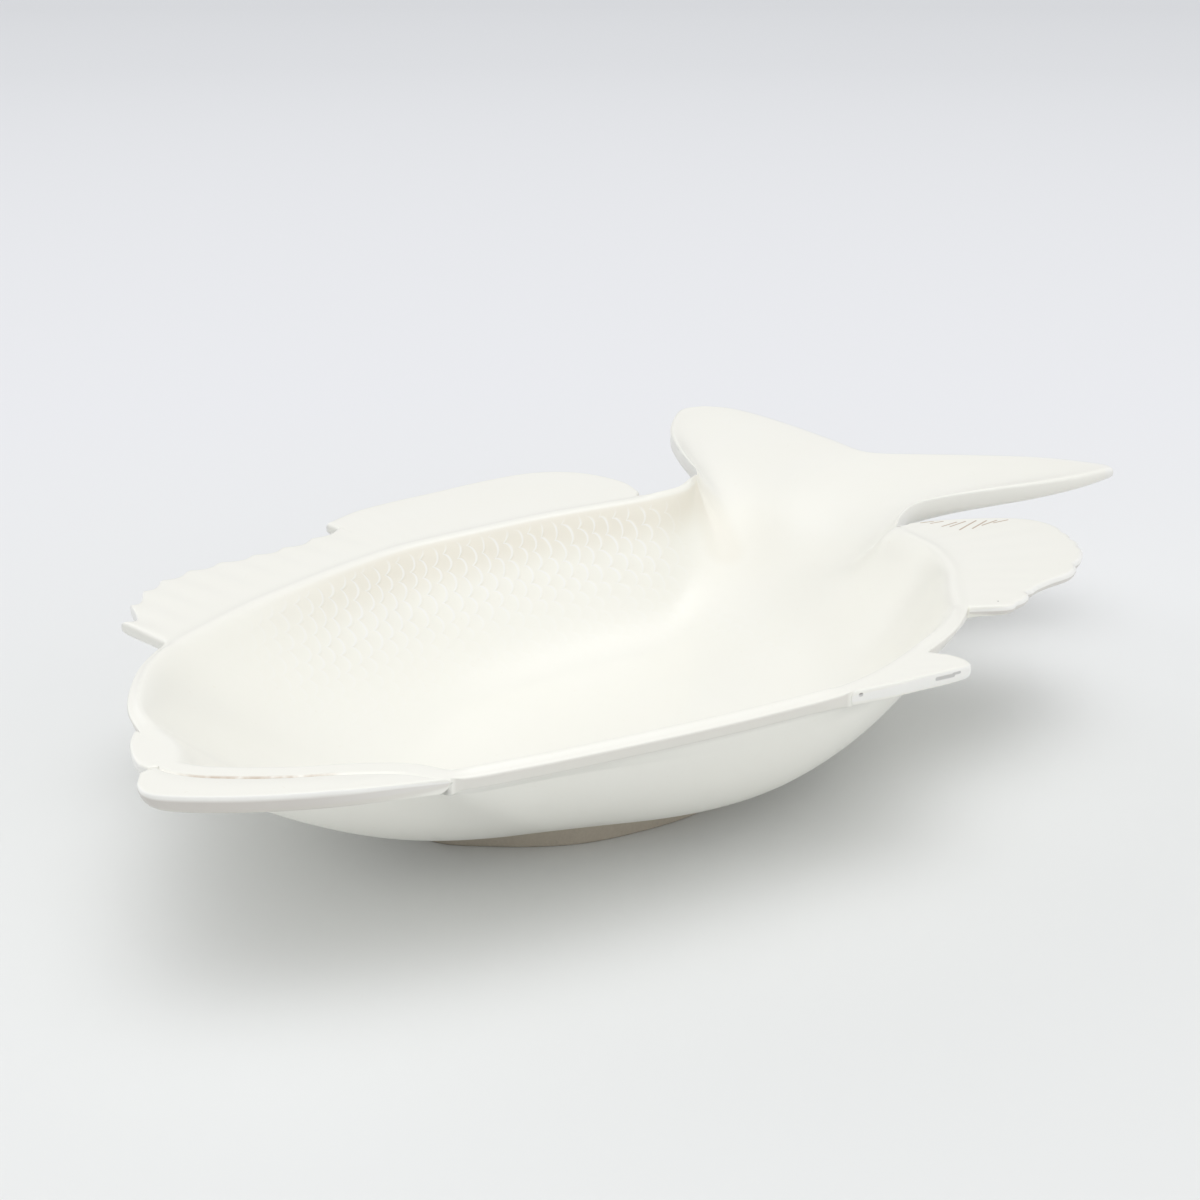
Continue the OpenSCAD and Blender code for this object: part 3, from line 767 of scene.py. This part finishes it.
def ringed_piece(name, stack, facts):
    """A closed skin through stacked rings, with a point in the middle at both ends."""
    rows, n = stack.shape[:2]
    points = np.vstack([stack.reshape(-1, 3), stack[0].mean(0), stack[-1].mean(0)])
    i = np.arange(n)
    j = (i + 1) % n
    caps = [np.column_stack([j, i, np.full(n, rows * n)]),
            np.column_stack([i + (rows - 1) * n, j + (rows - 1) * n, np.full(n, rows * n + 1)])]
    full = {k: np.concatenate([v.reshape(rows * n, *v.shape[2:]), v[0].mean(0)[None], v[-1].mean(0)[None]])
            for k, v in facts.items()}
    return make_mesh(name, points, [pad_quads(rows, n, 0, True), *caps], full)


def sheet_piece(name, form):
    """A closed sheet between its upper and its lower grid."""
    upper, lower = form["upper"], form["lower"]
    n, m = upper.shape[:2]
    low = n * m
    top = pad_quads(n, m, 0)
    under = pad_quads(n, m, low)[:, ::-1]
    loop = np.concatenate([np.arange(m), np.arange(1, n) * m + m - 1,
                           (n - 1) * m + np.arange(m - 2, -1, -1), np.arange(n - 2, 0, -1) * m])
    following = np.roll(loop, -1)
    side = np.column_stack([following, loop, loop + low, following + low])
    points = np.vstack([upper.reshape(-1, 3), lower.reshape(-1, 3)])
    # face holds painted shade on the lower side of a sheet
    brown, face = (np.broadcast_to(form.get(key, 0.0), (n, m)).ravel() for key in ("brown", "face"))
    facts = {"ray_along": np.tile(form["t"].ravel(), 2), "ray_out": np.tile(form["v"].ravel(), 2),
             "upper_side": np.repeat([1.0, 0.0], low), "brown": np.tile(brown, 2),
             "face": np.concatenate([np.zeros(low), face])}
    return make_mesh(name, points, [top, under, side], facts)


# ---------------------------------------------------------------- relief by geometry nodes
def open_tree(name, sizes):
    """A tree with its sizes as named inputs: the tree, the bench for its nodes, and what its inputs give."""
    tree = bpy.data.node_groups.new(name, "GeometryNodeTree")
    tree.is_modifier = True
    tree.interface.new_socket("Geometry", in_out="INPUT", socket_type="NodeSocketGeometry")
    tree.interface.new_socket("Geometry", in_out="OUTPUT", socket_type="NodeSocketGeometry")
    for label, value in sizes.items():
        tree.interface.new_socket(label, in_out="INPUT", socket_type="NodeSocketFloat").default_value = value
    bench = Bench(tree)
    entry = bench.add("NodeGroupInput").socket.node
    return tree, bench, {o.name: Worth(bench, o) for o in entry.outputs if o.name}


def close_tree(bench, geometry, finish):
    """Ends a tree with real faces in their finish."""
    real = bench.add("GeometryNodeRealizeInstances", None, {0: geometry})
    dressed = bench.add("GeometryNodeSetMaterial", None, {"Geometry": real, "Material": finish})
    bench.add("NodeGroupOutput", None, {"Geometry": dressed})


def relief_tree(name, sizes, finish, height):
    """A tree that lifts the surface along its normal by what height() gives."""
    tree, bench, given = open_tree(name, sizes)

    def fact(key, flavour="FLOAT"):
        return bench.add("GeometryNodeInputNamedAttribute", {"data_type": flavour}, {"Name": key})

    lift = height(bench, given, fact)
    offset = bench.vector("SCALE", bench.add("GeometryNodeInputNormal"), scale=lift)
    moved = bench.add("GeometryNodeSetPosition", None, {"Geometry": given["Geometry"], "Offset": offset})
    close_tree(bench, moved, finish)
    return tree


def foot_tree(name, finish):
    """A tree that sweeps a rounded section along the foot's line."""
    tree, bench, given = open_tree(
        name, {"Width": FOOT_W * 0.001, "Height": FOOT_H * 0.001, "Rounding": FOOT_ROUNDING * 0.001})
    path = bench.add("GeometryNodeMeshToCurve", None, {"Mesh": given["Geometry"]})
    path = bench.add("GeometryNodeSetCurveNormal", {"mode": "Z_UP"}, {"Curve": path})
    section = bench.add("GeometryNodeCurvePrimitiveQuadrilateral", None,
                        {"Width": given["Width"], "Height": given["Height"]})
    section = bench.add("GeometryNodeFilletCurve", {"mode": "POLY"},
                        {"Curve": section, "Radius": given["Rounding"], "Count": 3})
    swept = bench.add("GeometryNodeCurveToMesh", None, {"Curve": path, "Profile Curve": section})
    close_tree(bench, swept, finish)
    return tree


def settle(piece, tree, **sizes):
    """Runs a tree on a piece and keeps the result as its plain mesh."""
    modifier = piece.modifiers.new("relief", "NODES")
    modifier.node_group = tree
    sockets = {s.name: s.identifier for s in tree.interface.items_tree if s.in_out == "INPUT"}
    for label, value in sizes.items():
        modifier[sockets[label]] = value
    graph = bpy.context.evaluated_depsgraph_get()
    made = bpy.data.meshes.new_from_object(
        piece.evaluated_get(graph), preserve_all_data_layers=True, depsgraph=graph)
    piece.modifiers.clear()
    piece.data = made
    made.name = piece.name
    return piece


def scale_relief(bench, given, fact):
    height, _ = scale_tiles(bench, fact("scale_place", "FLOAT_VECTOR"))
    return height * fact("scale_strength") * given["Depth"]


def ray_relief(bench, given, fact):
    wave = 1 - (fact("ray_along") * given["Rays"] * (2 * math.pi)).sine()
    fade = (fact("ray_out") * math.pi).sine()
    return wave * fade * fact("upper_side") * given["Depth"] * 0.5


scale_tree = relief_tree("pressed scales", {"Depth": 0.0001}, dish_glaze, scale_relief)
ray_tree = relief_tree("fin rays", {"Rays": 10.0, "Depth": 0.0003}, fin_glaze, ray_relief)

# ---------------------------------------------------------------- the pieces
NICKS = ((0.1, 1.3), (0.175, 2.2), (0.41, 2.0), (0.51, 1.6), (0.555, 1.4), (0.6, 1.2))  # share of the edge, mm
grown = {
    "jaw": lip(JAW_ROOT, JAW, swell=0.35, outer=1.15, groove=0.8, under=4.4),
    "upper_lip": lip(LIP_ROOT, LIP, swell=0.2, outer=0.0, groove=0.0, under=3.0),
    "spiny_fin": fin(SPINY_ROOT, SPINY, SPINES, droop=SPINE_DROOP, joined=(2, 0)),
    "soft_fin": fin(SOFT_ROOT, SOFT, joined=(0, 0.75)),
    "tail": tail(),
    "rear_belly_fin": fin(ANAL_ROOT, ANAL, edge_t=ANAL_T, nicks=NICKS),
    "front_belly_fin": fin(PELVIC_ROOT, PELVIC),
}
ease_joins(dish, grown["tail"])

# Where the glaze breaks brown, and painted shade on the faces of undersides
form = grown["jaw"]
t, v = form["t"], form["v"]
form["brown"] = bell(v, 0.07, 0.06) * smooth_rise(t, 0.05, 0.25) * (1 - smooth_rise(t, 0.5, 0.7))
form["face"] = smooth_rise(v, 0.7, 0.9) * (1 - 0.5 * smooth_rise(t, 0.7, 1))
form = grown["rear_belly_fin"]
form["face"] = 0.85 * smooth_rise(form["v"], 0.9, 0.99) * (1 - smooth_rise(form["t"], 0.6, 0.7))
grown["tail"]["face"] = 0.3

# Where the scales lie: millimetres along the fish and across it, carried up the wall
ALONG, ACROSS = np.array([0.985, -0.17]), np.array([0.17, 0.985])
LIFT_SHARE = 0.45
out_way = spoke / length_of(spoke)[:, None]
lift = LIFT_SHARE * (dish[..., 2] - FLOOR_Z)
scale_place = np.stack([dish[..., :2] @ ALONG + lift * (out_way @ ALONG),
                        dish[..., :2] @ ACROSS + lift * (out_way @ ACROSS), 0 * lift], -1)
share_x = dish[..., 0] / LENGTH + 0.5
up_wall = (dish[..., 2] - FLOOR_Z) / (EDGE_Z - FLOOR_Z)
far_side = smooth_rise(np.sin(turn), -0.1, 0.35)
on_wall = far_side * (np.arange(len(dish)) <= brow)[:, None]
strength = 0.2 * smooth_rise(up_wall, 0.02, 0.2) + 0.8 * smooth_rise(up_wall, 0.25, 0.6)
strength = strength * smooth_rise(share_x, 0.17, 0.34) * (1 - smooth_rise(share_x, 0.61, 0.68))
strength = strength * (1 - smooth_rise(up_wall, 0.9, 0.98)) * on_wall
# Painted shade in a band under the far rim, where the wall turns away from the light
under_rim = smooth_rise(up_wall, 0.6, 0.88) * (1 - smooth_rise(up_wall, 0.97, 1.0)) * on_wall
under_rim = under_rim * smooth_rise(share_x, 0.2, 0.4)
# Painted shade on the outer face of the free rim
rim_face = np.zeros_like(up_wall)
rim_face[top_corner - 1:top_corner + 4] = ~attached

# Rays pressed into each form: how many, and how deep in metres
RAYS = {"jaw": (0, 0), "upper_lip": (0, 0), "spiny_fin": (9, 0.00034), "soft_fin": (13, 0.0001),
        "tail": (12, 0.00008), "rear_belly_fin": (11, 0.0001), "front_belly_fin": (5, 0.0001)}
dish_facts = {"scale_place": scale_place, "scale_strength": strength,
              "under_rim": under_rim, "rim_face": rim_face}
pieces = {"dish": settle(ringed_piece("dish", dish, dish_facts), scale_tree)}
for name, (count, depth) in RAYS.items():
    pieces[name] = settle(sheet_piece(name, grown[name]), ray_tree, Rays=float(count), Depth=float(depth))
# The node of the frame that each piece stands for
STANDS_FOR = {"dish": "basin", "jaw": "lower_jaw", "upper_lip": "upper_lip", "spiny_fin": "spiny_dorsal_fin",
              "soft_fin": "soft_dorsal_fin", "tail": "tail_fin", "rear_belly_fin": "anal_fin",
              "front_belly_fin": "pelvic_fin", "foot": "foot_ring"}

# The foot's line, along the middle of its ring
foot_edge = closed_curve(place(FOOT), 8)
foot_line = foot_edge + outline_inward(foot_edge) * (FOOT_W / 2)
foot_mesh = bpy.data.meshes.new("foot")
n_foot = len(foot_line)
foot_mesh.from_pydata((raised(foot_line, FOOT_H / 2) * 0.001).tolist(),
                      [(i, (i + 1) % n_foot) for i in range(n_foot)], [])
foot = bpy.data.objects.new("foot", foot_mesh)
scene.collection.objects.link(foot)
pieces["foot"] = settle(foot, foot_tree("swept foot ring", foot_glaze))

for name, piece in pieces.items():
    piece.data.polygons.foreach_set("use_smooth", [True] * len(piece.data.polygons))
    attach(piece, "root")
    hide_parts(STANDS_FOR[name])
share_normals()

# ---------------------------------------------------------------- floor and light
RIGHT = Vector((AHEAD.y, -AHEAD.x, 0))


def toward(turned, height):
    """A way out of the scene: degrees to the right of the camera's view, degrees above the table."""
    turned, height = math.radians(turned), math.radians(height)
    level = AHEAD * math.cos(turned) + RIGHT * math.sin(turned)
    return level * math.cos(height) + Vector((0, 0, math.sin(height)))


# The pale room's soft glows: way, how tight the glow is, how strong
GLOWS = [
    (toward(0, 90), 8, 2.95), (toward(90, 65), 20, 0.8), (toward(180, 65), 20, 0.78),
    (toward(240, 45), 10, 0.34), (toward(0, 18), 10, 0.67), (toward(60, 18), 10, 0.75),
    (toward(120, 18), 10, 1.65), (toward(180, 18), 10, 1.08), (toward(300, 18), 10, 2.2)]
ROOM_LEVEL = 0.955
FLOOR_HALF, PAPER_REACH = 14, 8.0  # metres: half the floor's side, and where its painted shade stops changing


def floor_finish(name):
    """A pale floor, with painted shade that turns it greyer away from its near end."""
    material, bench, where = new_material(name)
    away = bench.vector("LENGTH", bench.vector("SUBTRACT", where, (EYE.x, EYE.y, 0.0)), out="Value")
    paper_and_falloff = bench.add("ShaderNodeValToRGB", {"stops": [
        (0.0, (0.795, 0.805, 0.80)), (0.08, (0.805, 0.815, 0.81)), (0.15, (0.79, 0.797, 0.82)),
        (0.55, (0.69, 0.70, 0.72)), (1.0, (0.65, 0.66, 0.68))]}, {0: away / PAPER_REACH})
    paint = bench.add("ShaderNodeBsdfPrincipled", None, {
        "Base Color": paper_and_falloff, "Roughness": 0.9, "Specular IOR Level": 0.1})
    bench.add("ShaderNodeOutputMaterial", None, {"Surface": paint})
    return material


floor_mesh = bpy.data.meshes.new("floor")
corners = [(x * FLOOR_HALF, y * FLOOR_HALF, 0) for x, y in ((-1, -1), (1, -1), (1, 1), (-1, 1))]
floor_mesh.from_pydata(corners, [], [(0, 1, 2, 3)])
floor = bpy.data.objects.new("floor", floor_mesh)
floor.data.materials.append(floor_finish("pale floor"))
scene.collection.objects.link(floor)

world = bpy.data.worlds.new("room")
scene.world = world
world.use_nodes = True
room = Bench(world.node_tree)
way = room.add("ShaderNodeTexCoord", None, None, "Generated")
glow = sum(room.vector("DOT_PRODUCT", way, tuple(to), out="Value").most(0) ** tight * (strong * ROOM_LEVEL)
           for to, tight, strong in GLOWS)
seen = room.add("ShaderNodeLightPath", None, None, "Is Camera Ray")
fill = room.add("ShaderNodeBackground", None, {"Color": (0.99, 0.993, 1.0, 1), "Strength": glow})
backdrop = room.add("ShaderNodeBackground", None, {"Color": (0.75, 0.76, 0.78, 1), "Strength": 1.0})
both = room.add("ShaderNodeMixShader", None, {0: seen, 1: fill, 2: backdrop})
room.add("ShaderNodeOutputWorld", None, {"Surface": both})
